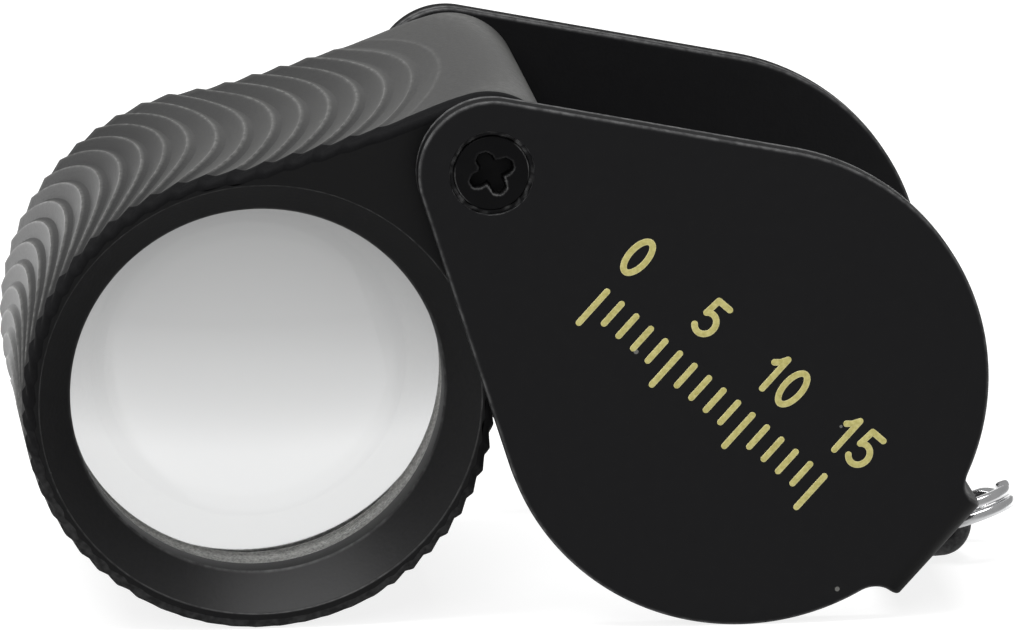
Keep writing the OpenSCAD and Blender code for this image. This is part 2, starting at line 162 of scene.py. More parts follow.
def carve(piece, cutters, operation="DIFFERENCE"):
    # takes the cutters out of a piece, or adds them to it, and keeps the result as its mesh
    for cutter in cutters:
        step = piece.modifiers.new("carve", "BOOLEAN")
        step.operation = operation
        step.solver = "EXACT"
        step.object = cutter
    graph = bpy.context.evaluated_depsgraph_get()
    mesh = bpy.data.meshes.new_from_object(piece.evaluated_get(graph))
    piece.modifiers.clear()
    piece.data = mesh
    for cutter in cutters:
        bpy.data.objects.remove(cutter)


def placed(points, axes, origin):
    # points given along three axes, moved to the loupe's own place
    return points @ axes + origin


def latheGrid(profile, count, axes, origin):
    # a profile (radius, height) turned about the second axis: (r cos a, h, r sin a)
    angle = fullTurn(count)
    radius, height = profile[:, :1], profile[:, 1:]
    local = np.stack([radius * np.cos(angle), height + 0 * angle, radius * np.sin(angle)], 2)
    return placed(local, axes, origin)


def lengthAlong(profile):
    # distance walked along a profile, as one value for each row
    steps = np.hypot(*np.diff(profile, axis=0).T)
    return np.concatenate([[0], np.cumsum(steps)])[:, None]


def latheParts(name, profile, count, axes, origin, closedRows=True, edge=None):
    # a turned piece, marked with the distance along its profile and, if given, the wear of each point
    profile = np.array(profile, float)
    marks = {"reach": lengthAlong(profile)}
    if edge is not None:
        marks["edge"] = np.array(edge, float)[:, None]
    return gridPiece(name, latheGrid(profile, count, axes, origin), closedRows=closedRows, marks=marks)


def cornerArc(centre, radius, start, end, count):
    # points of an arc in a profile, from one direction to another in degrees
    angle = np.radians(np.linspace(start, end, count))
    return [(centre[0] + radius * math.cos(a), centre[1] + radius * math.sin(a)) for a in angle]


def profileOf(sizes, names):
    # a profile by the names of its radii and heights, such as "outer front, outer rear"
    return [tuple(sizes[name] for name in pair.split()) for pair in names.split(", ")]


# Camera at the photograph's viewing angle
view = {
    "eye": (-37.315, -396.566, 113.014), "right": (0.99253, -0.12164, 0.00903),
    "down": (-0.02352, -0.26352, -0.96437), "lens": 303.064,
}
right = np.array(view["right"])
up = -np.array(view["down"])
cameraData = bpy.data.cameras.new("camera")
cameraData.lens = view["lens"]
cameraData.sensor_width = 36.0
camera = addObject("camera", cameraData)
standAt(camera, np.stack([right, up, np.cross(right, up)], 1), np.array(view["eye"]) * 0.001)
bpy.context.scene.camera = camera
print("camera placed")


# Node helpers
def feed(tree, socket, value):
    # gives an input either a plain value or another node's output
    if isinstance(value, bpy.types.NodeSocket):
        tree.links.new(value, socket)
    else:
        socket.default_value = value


def addNode(tree, kind, **values):
    # a node with its options (small first letter) and its inputs (capital first letter) given
    made = tree.nodes.new("ShaderNode" + kind)
    for label, value in values.items():
        if label[0].islower():
            setattr(made, label, value)
        else:
            feed(tree, made.inputs[label.replace("_", " ")], value)
    return made


def calc(tree, operation, first, second=0.0, third=0.0, clamp=False):
    # one step of arithmetic, on values or on other nodes' outputs
    made = tree.nodes.new("ShaderNodeMath")
    made.operation = operation
    made.use_clamp = clamp
    for socket, value in zip(made.inputs, (first, second, third)):
        feed(tree, socket, value)
    return made.outputs[0]


def times(tree, first, second, clamp=False):
    # the product of two values
    return calc(tree, "MULTIPLY", first, second, clamp=clamp)


def blendColour(tree, factor, first, second):
    # first colour at factor 0, second at factor 1; a plain colour is (red, green, blue)
    made = addNode(tree, "Mix", data_type="RGBA")
    for place, value in ((0, factor), (6, first), (7, second)):
        feed(tree, made.inputs[place], (*value, 1) if isinstance(value, tuple) else value)
    return made.outputs[2]


def spread(tree, value, low, high, toLow, toHigh):
    # maps a range onto another, held at both ends
    made = addNode(tree, "MapRange", Value=value, From_Min=low, From_Max=high, To_Min=toLow, To_Max=toHigh)
    return made.outputs["Result"]


def newGroup(name, inputs, outputs):
    # a node group with named inputs and outputs; gives the group, its inner input node and its output node
    group = bpy.data.node_groups.new(name, "ShaderNodeTree")
    for label, kind, value in inputs:
        socket = group.interface.new_socket(name=label, in_out="INPUT", socket_type="NodeSocket" + kind)
        if value is not None:
            socket.default_value = value
    for label, kind in outputs:
        group.interface.new_socket(name=label, in_out="OUTPUT", socket_type="NodeSocket" + kind)
    return group, group.nodes.new("NodeGroupInput"), group.nodes.new("NodeGroupOutput")


def useGroup(tree, group, **values):
    # one use of a node group
    return addNode(tree, "Group", node_tree=group, **values)


# Fine coat: round grains with a finer roughness on them, and a slow mottling
fineCoat, given, wanted = newGroup(
    "fineCoat",
    [("Place", "Vector", None), ("Grain", "Float", 6000.0), ("Mottle", "Float", 500.0)],
    [("Height", "Float"), ("Patch", "Float")],
)
place, grain, mottle = given.outputs["Place"], given.outputs["Grain"], given.outputs["Mottle"]
grains = addNode(fineCoat, "TexVoronoi", feature="SMOOTH_F1", Vector=place, Scale=grain, Smoothness=0.6)
fineScale = times(fineCoat, grain, 1.7)
fine = addNode(fineCoat, "TexNoise", Vector=place, Detail=4.0, Roughness=0.6, Scale=fineScale)
patch = addNode(fineCoat, "TexNoise", Vector=place, Detail=3.0, Scale=mottle)
rounded = calc(fineCoat, "SUBTRACT", 1.0, grains.outputs["Distance"])
mixed = calc(fineCoat, "ADD", times(fineCoat, rounded, 0.5), times(fineCoat, fine.outputs[0], 0.5))
feed(fineCoat, wanted.inputs["Height"], mixed)
feed(fineCoat, wanted.inputs["Patch"], patch.outputs[0])

# Dust: a few bright specks, one at most in each cell of a random pattern
dustSpecks, given, wanted = newGroup(
    "dustSpecks",
    [("Place", "Vector", None), ("Cells", "Float", 900.0), ("Share", "Float", 0.1), ("Size", "Float", 0.1)],
    [("Mask", "Float")],
)
cells = addNode(dustSpecks, "TexVoronoi", Vector=given.outputs["Place"], Scale=given.outputs["Cells"])
chosen = addNode(dustSpecks, "SeparateColor", Color=cells.outputs["Color"])
present = calc(dustSpecks, "LESS_THAN", chosen.outputs[0], given.outputs["Share"])
radius = times(dustSpecks, given.outputs["Size"], chosen.outputs[1])
inside = calc(dustSpecks, "LESS_THAN", cells.outputs["Distance"], radius)
feed(dustSpecks, wanted.inputs["Mask"], times(dustSpecks, present, inside))

# Worn edges and painted highlights: the edge attribute, broken up by noise
edgeWearAndHighlight, given, wanted = newGroup(
    "edgeWearAndHighlight",
    [("Place", "Vector", None), ("Edge", "Float", 0.0), ("Breaks", "Float", 2500.0)],
    [("Mask", "Float")],
)
breaks = addNode(edgeWearAndHighlight, "TexNoise", Vector=given.outputs["Place"], Detail=4.0,
                 Scale=given.outputs["Breaks"])
kept = spread(edgeWearAndHighlight, breaks.outputs[0], 0.38, 0.66, 0.35, 1.0)
feed(edgeWearAndHighlight, wanted.inputs["Mask"], times(edgeWearAndHighlight, kept, given.outputs["Edge"], clamp=True))

# Turned lines: fine rings along a lathe profile, uneven in depth
turnedLines, given, wanted = newGroup(
    "turnedLines",
    [("Place", "Vector", None), ("Reach", "Float", 0.0), ("Lines", "Float", 9.0)],
    [("Height", "Float")],
)
unevenness = addNode(turnedLines, "TexNoise", Vector=given.outputs["Place"], Scale=900.0, Detail=2.0)
turns = times(turnedLines, given.outputs["Reach"], given.outputs["Lines"])
wave = calc(turnedLines, "SINE", calc(turnedLines, "MULTIPLY_ADD", turns, 6.2832, unevenness.outputs[0]))
feed(turnedLines, wanted.inputs["Height"], spread(turnedLines, wave, -1.0, 1.0, 0.0, 1.0))


def newMaterial(name, **values):
    # a material with its Principled shader's constants on the shader's own sockets
    material = bpy.data.materials.new(name)
    material.use_nodes = True
    tree = material.node_tree
    shader = tree.nodes["Principled BSDF"]
    for label, value in values.items():
        shader.inputs[label.replace("_", " ")].default_value = value
    return material, tree, shader, addNode(tree, "TexCoord").outputs["Object"]


def addBump(tree, shader, height, distance, before=None):
    # relief in the shader's normal, on top of an earlier bump if there is one
    bump = addNode(tree, "Bump", Height=height, Distance=distance)
    if before is not None:
        feed(tree, bump.inputs["Normal"], before.outputs["Normal"])
    feed(tree, shader.inputs["Normal"], bump.outputs["Normal"])
    return bump


def readMark(tree, label):
    # one of the point attributes that gridPiece writes
    return addNode(tree, "Attribute", attribute_name=label).outputs["Fac"]


def patchShare(tree, coat):
    # the coat's slow mottling as a share from 0 to 1
    return spread(tree, coat.outputs["Patch"], 0.3, 0.7, 0.0, 1.0)


def coatedMaterial(name, colour, patch, wearAndHighlight, rough, specular, wornAndLit=0.75, grain=5200.0, depth=0.000008,
                   mottle=5200.0, dust=(900.0, 0.02, 0.09), sheen=None):
    # painted or moulded black: fine grain, mottled colour and gloss, dust specks (cells, share, size) and
    # edges worn and painted with highlights, both in the wearAndHighlight colour
    material, tree, shader, place = newMaterial(name, Specular_IOR_Level=specular)
    coat = useGroup(tree, fineCoat, Place=place, Grain=grain, Mottle=mottle)
    specks = useGroup(tree, dustSpecks, Place=place, Cells=dust[0], Share=dust[1], Size=dust[2])
    edges = useGroup(tree, edgeWearAndHighlight, Place=place, Edge=readMark(tree, "edge"), Breaks=2600.0)
    edges = edges.outputs["Mask"]
    tint = blendColour(tree, patchShare(tree, coat), colour, patch)
    if sheen is not None:
        # painted sheen: the satin side's colour is painted lighter where it is seen at a low angle, and
        # hardly so in the grooves
        low = addNode(tree, "LayerWeight", Blend=0.5).outputs["Facing"]
        share = spread(tree, low, sheen["from"], sheen["to"], 0.0, 1.0)
        share = times(tree, share, calc(tree, "SUBTRACT", 1.0, readMark(tree, "reach")))
        share = times(tree, share, spread(tree, coat.outputs["Patch"], 0.3, 0.7, 0.72, 1.2), clamp=True)
        tint = blendColour(tree, share, tint, sheen["colour"])
    # edges and crests worn, and painted lighter as highlights
    tint = blendColour(tree, times(tree, edges, wornAndLit), tint, wearAndHighlight)
    tint = blendColour(tree, specks.outputs["Mask"], tint, (0.16, 0.16, 0.15))
    # painted shade: recesses and undersides are painted darker
    tint = blendColour(tree, readMark(tree, "deep"), tint, (0.0012, 0.0012, 0.0013))
    feed(tree, shader.inputs["Base Color"], tint)
    gloss = spread(tree, coat.outputs["Patch"], 0.25, 0.75, *rough)
    feed(tree, shader.inputs["Roughness"], calc(tree, "SUBTRACT", gloss, times(tree, edges, 0.1)))
    addBump(tree, shader, coat.outputs["Height"], depth)
    return material


casePaint = coatedMaterial(
    "casePaint", colour=(0.0102, 0.0102, 0.011), patch=(0.0109, 0.0109, 0.0117), wearAndHighlight=(0.2, 0.2, 0.2),
    rough=(0.46, 0.49), specular=0.1, wornAndLit=0.5, mottle=1500.0, dust=(900.0, 0.1, 0.11),
)
headPlastic = coatedMaterial(
    "headPlastic", colour=(0.006, 0.006, 0.0064), patch=(0.007, 0.007, 0.0074), wearAndHighlight=(0.11, 0.11, 0.11),
    rough=(0.42, 0.435), specular=0.18, depth=0.000005,
)
# a lighter copy of the head's plastic for the funnel: painted light
funnelPlastic = coatedMaterial(
    "funnelPlastic", colour=(0.013, 0.013, 0.0135), patch=(0.0155, 0.0155, 0.016),
    wearAndHighlight=(0.13, 0.13, 0.13), rough=(0.42, 0.45), specular=0.18,
)
edgePlastic = coatedMaterial(
    "edgePlastic", colour=(0.0065, 0.0065, 0.007), patch=(0.0085, 0.0085, 0.009), wearAndHighlight=(0.11, 0.11, 0.11),
    rough=(0.6, 0.66), specular=0.04, wornAndLit=0.5, depth=0.00001,
)
gripPlastic = coatedMaterial(
    "gripPlastic", colour=(0.0085, 0.0085, 0.0087), patch=(0.012, 0.012, 0.0122),
    wearAndHighlight=(0.16, 0.16, 0.155), rough=(0.36, 0.42), specular=0.5, wornAndLit=0.9, grain=7000.0, depth=0.000014,
    mottle=6400.0, dust=(900.0, 0.03, 0.1),
    sheen={"from": 0.5, "to": 0.97, "colour": (0.086, 0.086, 0.0835)},
)
castBlack = coatedMaterial(
    "castBlack", colour=(0.022, 0.022, 0.023), patch=(0.06, 0.06, 0.061), wearAndHighlight=(0.1, 0.1, 0.1),
    rough=(0.5, 0.6), specular=0.3, wornAndLit=0.6, grain=3600.0, depth=0.00002, dust=(1500.0, 0.1, 0.12),
)
nylon = coatedMaterial(
    "nylon", colour=(0.55, 0.55, 0.52), patch=(0.49, 0.49, 0.46), wearAndHighlight=(0.6, 0.6, 0.58),
    rough=(0.45, 0.6), specular=0.5, wornAndLit=0.2, grain=3000.0, mottle=1500.0, dust=(900.0, 0.02, 0.1),
)
glassEdge = coatedMaterial(
    "glassEdge", colour=(0.01, 0.01, 0.01), patch=(0.014, 0.014, 0.014), wearAndHighlight=(0.02, 0.02, 0.02),
    rough=(0.7, 0.9), specular=0.1, wornAndLit=0.0, grain=6000.0, depth=0.00001, mottle=1500.0,
    dust=(900.0, 0.0, 0.1),
)


def metalMaterial(name, colour, dark, bareAndGlint, rough, grain, depth, lines, metallic=1.0, specular=0.5,
                  mottle=900.0, bareAndGlintShare=0.5):
    # turned or drawn metal: fine rings, a mottled colour and gloss, and edges worn to the bare colour,
    # which also paints glints and highlights where marked
    material, tree, shader, place = newMaterial(name, Metallic=metallic, Specular_IOR_Level=specular)
    coat = useGroup(tree, fineCoat, Place=place, Grain=grain, Mottle=mottle)
    rings = useGroup(tree, turnedLines, Place=place, Reach=readMark(tree, "reach"), Lines=lines)
    wornAndLit = useGroup(tree, edgeWearAndHighlight, Place=place, Edge=readMark(tree, "edge"), Breaks=3500.0)
    tint = blendColour(tree, patchShare(tree, coat), colour, dark)
    # worn edges, and painted glints and highlights where marked
    tint = blendColour(tree, times(tree, wornAndLit.outputs["Mask"], bareAndGlintShare), tint, bareAndGlint)
    # painted shade: recesses painted darker
    tint = blendColour(tree, readMark(tree, "deep"), tint, (0.001, 0.001, 0.001))
    feed(tree, shader.inputs["Base Color"], tint)
    gloss = spread(tree, coat.outputs["Patch"], 0.25, 0.75, *rough)
    inDeep = times(tree, readMark(tree, "deep"), 0.4)
    feed(tree, shader.inputs["Roughness"], calc(tree, "ADD", gloss, inDeep))
    first = addBump(tree, shader, rings.outputs["Height"], depth)
    addBump(tree, shader, coat.outputs["Height"], depth * 0.5, before=first)
    return material


blackSteel = metalMaterial(
    "blackSteel", colour=(0.0042, 0.0042, 0.0047), dark=(0.003, 0.003, 0.0034), bareAndGlint=(0.2, 0.2, 0.2),
    rough=(0.36, 0.42), grain=7000.0, depth=0.000001, lines=5.0, metallic=0.0, specular=0.1,
    bareAndGlintShare=0.8,
)
anodised = metalMaterial(
    "anodised", colour=(0.6, 0.6, 0.58), dark=(0.26, 0.26, 0.25), bareAndGlint=(1.0, 1.0, 1.0), rough=(0.4, 0.55),
    grain=9000.0, depth=0.00003, lines=8.0, metallic=0.0, specular=0.6, mottle=7000.0,
)
brass = metalMaterial(
    "brass", colour=(0.68, 0.53, 0.26), dark=(0.55, 0.41, 0.19), bareAndGlint=(1.0, 1.0, 0.634),
    rough=(0.22, 0.34), grain=4000.0, depth=0.000004, lines=12.0,
)
chrome = metalMaterial(
    "chrome", colour=(0.84, 0.84, 0.85), dark=(0.76, 0.77, 0.78), bareAndGlint=(0.02, 0.02, 0.02),
    rough=(0.16, 0.24), grain=2500.0, depth=0.0000015, lines=0.0, bareAndGlintShare=1.0,
)

glass, tree, shader, place = newMaterial("coatedGlass", IOR=1.6, Transmission_Weight=1.0)
smears = addNode(tree, "TexNoise", Vector=place, Scale=260.0, Detail=3.0).outputs[0]
feed(tree, shader.inputs["Roughness"], spread(tree, smears, 0.35, 0.8, 0.07, 0.1))
feed(tree, shader.inputs["Base Color"], blendColour(tree, smears, (0.97, 0.975, 0.97), (0.95, 0.955, 0.96)))

goldPaint, tree, shader, place = newMaterial("goldPaint", Metallic=0.0, Specular_IOR_Level=0.4)
coat = useGroup(tree, fineCoat, Place=place, Grain=9000.0, Mottle=5200.0)
tint = blendColour(tree, patchShare(tree, coat), (0.47, 0.42, 0.125), (0.64, 0.585, 0.225))
tint = blendColour(tree, times(tree, readMark(tree, "edge"), 0.7), tint, (0.76, 0.71, 0.38))
feed(tree, shader.inputs["Base Color"], tint)
feed(tree, shader.inputs["Roughness"], spread(tree, coat.outputs["Patch"], 0.3, 0.7, 0.35, 0.55))
addBump(tree, shader, coat.outputs["Height"], 0.00001)
print("materials made")


def finishPiece(piece, body, materials, replaced=(), sharp=32.0, even=True):
    # smooth shading with crisp corners, a finish, and the body that carries the piece
    mesh = piece.data
    for material in materials[len(mesh.materials):]:
        mesh.materials.append(material)
    mesh.shade_smooth()
    mesh.set_sharp_from_angle(angle=math.radians(sharp))
    if even:
        step = piece.modifiers.new("evenNormals", "WEIGHTED_NORMAL")
        step.keep_sharp = True
        step.weight = 60
    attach(piece, body)
    if replaced:
        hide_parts(*replaced)
    print("made", piece.name, len(mesh.polygons), "faces")


# Swing case: one blank of sheet, bent twice
case = {
    "reach": 16.45, "discRadius": 11.86, "pivotRadius": 3.53, "sheet": 1.2, "bightReach": 29.7,
    "bend": 2.0, "bightWidth": 6.0, "fillet": 1.3, "edge": 0.2, "faceSink": 0.015,
    "edgeFaceRows": (0.27, 0.64, 0.72, 0.8), "shadeBack": 1.6, "shadeReach": 1.2, "seatRadius": 2.03,
    "seatDepth": 0.23, "seatLip": 0.07, "coneStart": 1.85, "holeRadius": 1.35, "coneEnd": 0.73,
    "shankHole": 1.0,
}


def blankEdge(sizes):
    # half of the blank's edge from one plate's tip to the middle of the bight, as (along, across) and its
    # outward normal: tip arc, flank that touches both arcs, round end, hollow fillet, straight strip
    lean = math.asin((sizes["discRadius"] - sizes["pivotRadius"]) / sizes["reach"])
    touch = np.pi / 2 + lean
    span = sizes["discRadius"] + sizes["fillet"]
    lift = sizes["bightWidth"] / 2 + sizes["fillet"]
    filletCentre = np.array([sizes["reach"] + math.sqrt(span * span - lift * lift), lift])
    meet = math.asin(lift / span)
    bendStart = sizes["bightReach"] - sizes["bend"]

    def arc(centre, radius, start, end, count, side=1):
        # points of an arc and their outward normals
        angle = np.linspace(start, end, count)
        ray = np.stack([np.cos(angle), np.sin(angle)], 1)
        return np.array(centre) + radius * ray, side * ray

    tip, tipOut = arc([0, 0], sizes["pivotRadius"], np.pi, touch, 26)
    disc, discOut = arc([sizes["reach"], 0], sizes["discRadius"], touch, meet, 80)
    hollow, hollowOut = arc(filletCentre, sizes["fillet"], np.pi + meet, 1.5 * np.pi, 14, side=-1)
    share = np.linspace(0, 1, 14)[1:-1, None]
    flank = tip[-1] * (1 - share) + disc[0] * share
    edge = np.concatenate([tip, flank, disc, hollow[1:]])
    out = np.concatenate([tipOut, np.repeat(tipOut[-1:], len(flank), 0), discOut, hollowOut[1:]])
    past = np.clip((edge[:, 0] - bendStart) / sizes["bend"], 0, 1)
    edge[:, 0] = np.where(past > 0, bendStart + sizes["bend"] * np.arcsin(past), edge[:, 0])
    bendEnd = bendStart + sizes["bend"] * np.pi / 2
    middle = bendEnd + stand["caseDepth"] / 2 - sizes["bend"]
    strip = [np.linspace(edge[-1, 0], bendEnd, 12)[1:], np.linspace(bendEnd, middle, 10)[1:]]
    strip = np.concatenate(strip)
    edge = np.concatenate([edge, np.stack([strip, 0 * strip + sizes["bightWidth"] / 2], 1)])
    out = np.concatenate([out, np.tile([0.0, 1.0], (len(strip), 1))])
    return edge, out, middle


def bentSheet(along, across, depth, middle, sizes):
    # the blank's point at a depth below its outer face, after bending: flat plate, quarter turn, bight, and
    # the same mirrored beyond the middle
    other = along > middle
    run = np.where(other, 2 * middle - along, along)
    bendStart = sizes["bightReach"] - sizes["bend"]
    turn = np.clip((run - bendStart) / sizes["bend"], 0, np.pi / 2)
    inner = sizes["bend"] - depth
    x = np.minimum(run, bendStart) + inner * np.sin(turn)
    y = sizes["bend"] - inner * np.cos(turn) + np.maximum(0, run - bendStart - sizes["bend"] * np.pi / 2)
    return np.stack([x, np.where(other, stand["caseDepth"] - y, y), across], -1)


edge, out, middle = blankEdge(case)
mirrored = np.stack([2 * middle - edge[-2::-1, 0], edge[-2::-1, 1]], 1)
edge = np.concatenate([edge, mirrored])
out = np.concatenate([out, out[-2::-1] * [-1, 1]])
outerRound = [(inset, case["faceSink"] + down) for inset, down in rounding(case["edge"])]
innerRound = [(inset, case["sheet"] + case["faceSink"] - depth) for inset, depth in outerRound[::-1]]
flat = [(0.0, case["faceSink"] + depth) for depth in case["edgeFaceRows"]]
roundMark = np.sin(2 * quarter) ** 3
# wear and painted highlight lines on the sheet's edge: light on the roundings, none near the outer face
sectionWearAndHighlight = [*roundMark[1:], 0.0, 0.0, 0.6, 1.0, 1.0, *roundMark[1:-1]]
edgeRows = [(inset, depth, mark)
            for (inset, depth), mark in zip(outerRound[1:] + flat + innerRound[:-1], sectionWearAndHighlight)]
# round the sheet's section: outer face, one edge, inner face, other edge, each row as inset from the
# blank's edge, depth, share of the width and wear, which also paints highlight lines on the edges
faceShares = np.array([-1, -0.985, -0.8, -0.45, 0, 0.45, 0.8, 0.985, 1])
sections = [(case["edge"], case["faceSink"], share, 0.0) for share in faceShares]
sections += [(inset, depth, 1.0, mark) for inset, depth, mark in edgeRows]
sections += [(case["edge"], case["sheet"], share, 0.0) for share in faceShares[::-1]]
sections += [(inset, depth, -1.0, mark) for inset, depth, mark in edgeRows[::-1]]
inset, depth, share, onEdge = np.array(sections).T
alongGrid = edge[:, :1] - out[:, :1] * inset
acrossGrid = (edge[:, 1:] - out[:, 1:] * inset) * share
caseGrid = bentSheet(alongGrid, acrossGrid, depth[None, :] + 0 * alongGrid, middle, case)
# painted shade: the bight and the cut edge near the outer face are painted darker
run = np.where(alongGrid > middle, 2 * middle - alongGrid, alongGrid)
beyond = smoothStep((run - case["bightReach"] + case["shadeBack"]) / case["shadeReach"])
onFlat = 0.6 * ((inset < 0.001) & (onEdge < 0.5))[None, :]
swingCase = gridPiece("swingCase", placed(caseGrid, caseAxes, pivot),
                      marks={"edge": onEdge[None, :], "deep": np.maximum(0.8 * beyond, onFlat)})

seatProfile = [(0.0, -1.0), (case["seatRadius"] + case["seatLip"], -1.0)]
seatProfile += [(case["seatRadius"] + inset, down)
                for inset, down in rounding(case["seatLip"], np.radians([12, 34, 56, 78, 90]))]
seatProfile += profileOf(case, "seatRadius seatDepth, coneStart seatDepth, holeRadius coneEnd")
seatProfile += [(case["holeRadius"], 2.0), (0.0, 2.0)]
flipped = caseAxes * np.array([[1], [-1], [1]])
rearFace = pivot + stand["caseDepth"] * caseAxes[1]
seats = [latheParts("seatFront", seatProfile, 96, caseAxes, pivot, closedRows=False),
         latheParts("seatRear", seatProfile, 96, flipped, rearFace, closedRows=False)]
shankAxes = np.array([caseAxes[1], caseAxes[0], -caseAxes[2]])
holeProfile = [(0.0, case["bightReach"] - 3.0), (case["shankHole"], case["bightReach"] - 3.0),
               (case["shankHole"], case["bightReach"] + 1.0), (0.0, case["bightReach"] + 1.0)]
shankFoot = pivot + midDepth * caseAxes[1]
seats.append(latheParts("shankHole", holeProfile, 64, shankAxes, shankFoot, closedRows=False))
carve(swingCase, seats)
finishPiece(swingCase, "case", [casePaint], ["swing_case"])


# Lens head: a round end and an arm, with a grip of bowed ridges
head = {
    "radius": 11.4, "armRadius": 3.45, "mouth": 10.6, "opening": 9.0, "bore": 10.25, "lipEnd": 1.2,
    "boreEnd": 12.5024, "edge": 0.45, "rearEdge": 0.35, "lip": 0.11, "waist": 0.28, "postHole": 2.05,
    "sideRows": 44, "armHighlight": 0.5, "armHighlightTurn": 38.0, "armHighlightReach": 24.0,
}
grip = {
    "start": -0.3, "pitch": 1.19, "flankPitch": 1.41, "upper": 9, "end": 40, "lower": 7, "valley": 0.7,
    "depth": 0.24, "edgeDepth": 0.17, "bow": 13.5, "faceBow": 3.2, "plainFrom": 25.0, "plainTo": 40.5,
    "plainDepth": 6.6, "roundEndShade": 0.36, "frontWear": 0.6,
}
pivotTurn = math.degrees(math.atan2(pivot[2], pivot[0]))
armLean = math.degrees(math.acos((head["radius"] - head["armRadius"]) / stand["headReach"]))
endStart = pivotTurn + armLean
endAngle = 360 - 2 * armLean
endLength = head["radius"] * math.radians(endAngle)
flankLength = stand["headReach"] * math.sin(math.radians(armLean))
armLength = head["armRadius"] * math.radians(2 * armLean)
headRound = endLength + 2 * flankLength + armLength


def headOutline(distance):
    # the head's outline from the front, by the distance walked round it: round end, lower flank, arm end,
    # upper flank; gives the points and their outward normals as (x, z)
    s = np.mod(distance + flankLength, headRound) - flankLength
    onEnd = np.clip(s, 0, endLength) / head["radius"]
    onArm = np.clip(s - endLength - flankLength, 0, armLength) / head["armRadius"]
    angle = math.radians(endStart) + onEnd + onArm
    normal = np.stack([np.cos(angle), np.sin(angle)], -1)
    tangent = np.stack([-np.sin(angle), np.cos(angle)], -1)
    beyond = s > endLength + flankLength
    centre = np.where(beyond[..., None], pivot[[0, 2]], 0.0)
    radius = np.where(beyond, head["armRadius"], head["radius"])[..., None]
    slide = np.where(s < 0, s, np.where(s > endLength, np.minimum(s - endLength, flankLength), 0.0))
    slide = np.where(beyond, 0.0, slide)[..., None]
    return centre + radius * normal + slide * tangent, normal


def toothDepth(q):
    # one ridge from crest to crest: a hollow slope inwards to the valley, then a short steep rise
    slope = 1 - (1 - np.clip(q / grip["valley"], 0, 1)) ** 1.35
    rise = 1 - np.clip((q - grip["valley"]) / (1 - grip["valley"]), 0, 1) ** 1.25
    return np.where(q < grip["valley"], slope, rise)


ridge = np.arange(-grip["upper"], grip["end"] + grip["lower"] + 1)
onFlank = np.minimum(ridge, 0) + np.maximum(ridge - grip["end"], 0)
crests = grip["start"] + np.clip(ridge, 0, grip["end"]) * grip["pitch"] + onFlank * grip["flankPitch"]
ridgeFade = np.minimum(1, np.minimum(ridge[:-1] - ridge[0] + 1, ridge[-1] - ridge[:-1]) / 3)
shares = np.array([0, 0.035, 0.09, 0.18, 0.3, 0.43, 0.55, 0.64, 0.7, 0.75, 0.81, 0.88, 0.94, 0.975])
station = (crests[:-1, None] + np.diff(crests)[:, None] * shares).ravel()
tooth = (ridgeFade[:, None] * toothDepth(shares)).ravel()
# crests worn, and painted lighter as highlight lines
crestWearAndHighlight = (ridgeFade[:, None] * np.clip(1 - np.minimum(shares, 1 - shares) / 0.1, 0, 1)).ravel()
armStation = np.linspace(crests[-1], crests[0] + headRound, 60)[:-1]
station = np.concatenate([station, armStation])
tooth = np.concatenate([tooth, 0 * armStation])
# painted highlight band along the arm's lit side, broken into scuffs by noise
armTurn = np.degrees((armStation - endLength - flankLength) / head["armRadius"]) + pivotTurn - armLean
armHighlightMark = head["armHighlight"] * np.exp(-((armTurn - head["armHighlightTurn"]) / head["armHighlightReach"]) ** 2)
crestWearAndHighlight = np.concatenate([crestWearAndHighlight, armHighlightMark])
ridgeNumber = np.concatenate([np.repeat(ridge[:-1], len(shares)), 0 * armStation + ridge[0]])
# painted shade: less painted sheen on the upper left of the round end
roundEndShade = grip["roundEndShade"] * smoothStep((ridgeNumber + 1) / 3) * smoothStep((11 - ridgeNumber) / 3)
lowWear = grip["frontWear"] * smoothStep((ridgeNumber - 9) / 6) * smoothStep((38 - ridgeNumber) / 6)
depthMiddle = (stand["headFront"] + stand["headRear"]) / 2


def waistDepth(s):
    # the flanks are slightly hollow between the round end and the arm
    s = np.mod(s + flankLength, headRound) - flankLength
    near = np.where(s > endLength / 2, endLength - s, s)
    return head["waist"] * smoothStep((0.5 - near) / 3.5) * smoothStep((near + flankLength - 0.3) / 4)


def sideRow(y, inset, fade):
    # one row of the side at depth y: the outline, less the ridges, whose crests are bowed along the depth
    offset = y - depthMiddle
    bow = grip["bow"] - math.sqrt(grip["bow"] ** 2 - offset ** 2)
    point, normal = headOutline(station + bow)
    far = (2 * offset / (stand["headRear"] - stand["headFront"])) ** 2
    depthHere = grip["depth"] * (1 - far) + grip["edgeDepth"] * far
    lower = np.mod(station + bow, headRound)
    plain = smoothStep((lower - grip["plainFrom"]) / 2.5) * smoothStep((grip["plainTo"] - lower) / 2.5)
    plain = plain * smoothStep((-offset - grip["plainDepth"]) / 1.6)
    into = tooth * depthHere * fade * (1 - 0.85 * plain) + waistDepth(station + bow) + inset
    point = point - normal * into[:, None]
    return np.stack([point[:, 0], 0 * station + y, point[:, 1]], 1)


def grooveShade(y):
    # painted shade: how much the grooves and the round end's upper left lose of the painted sheen, more on
    # the object side
    return roundEndShade + tooth * (0.3 + 0.25 * smoothStep((y - depthMiddle) / 4))


ringAngle = np.unwrap(np.arctan2(*headOutline(station + grip["faceBow"])[0][:, ::-1].T))


def ringRow(radius, y):
    # one round row of the inside, with as many columns as the side: (r cos a, y, r sin a)
    return np.stack([radius * np.cos(ringAngle), 0 * ringAngle + y, radius * np.sin(ringAngle)], 1)


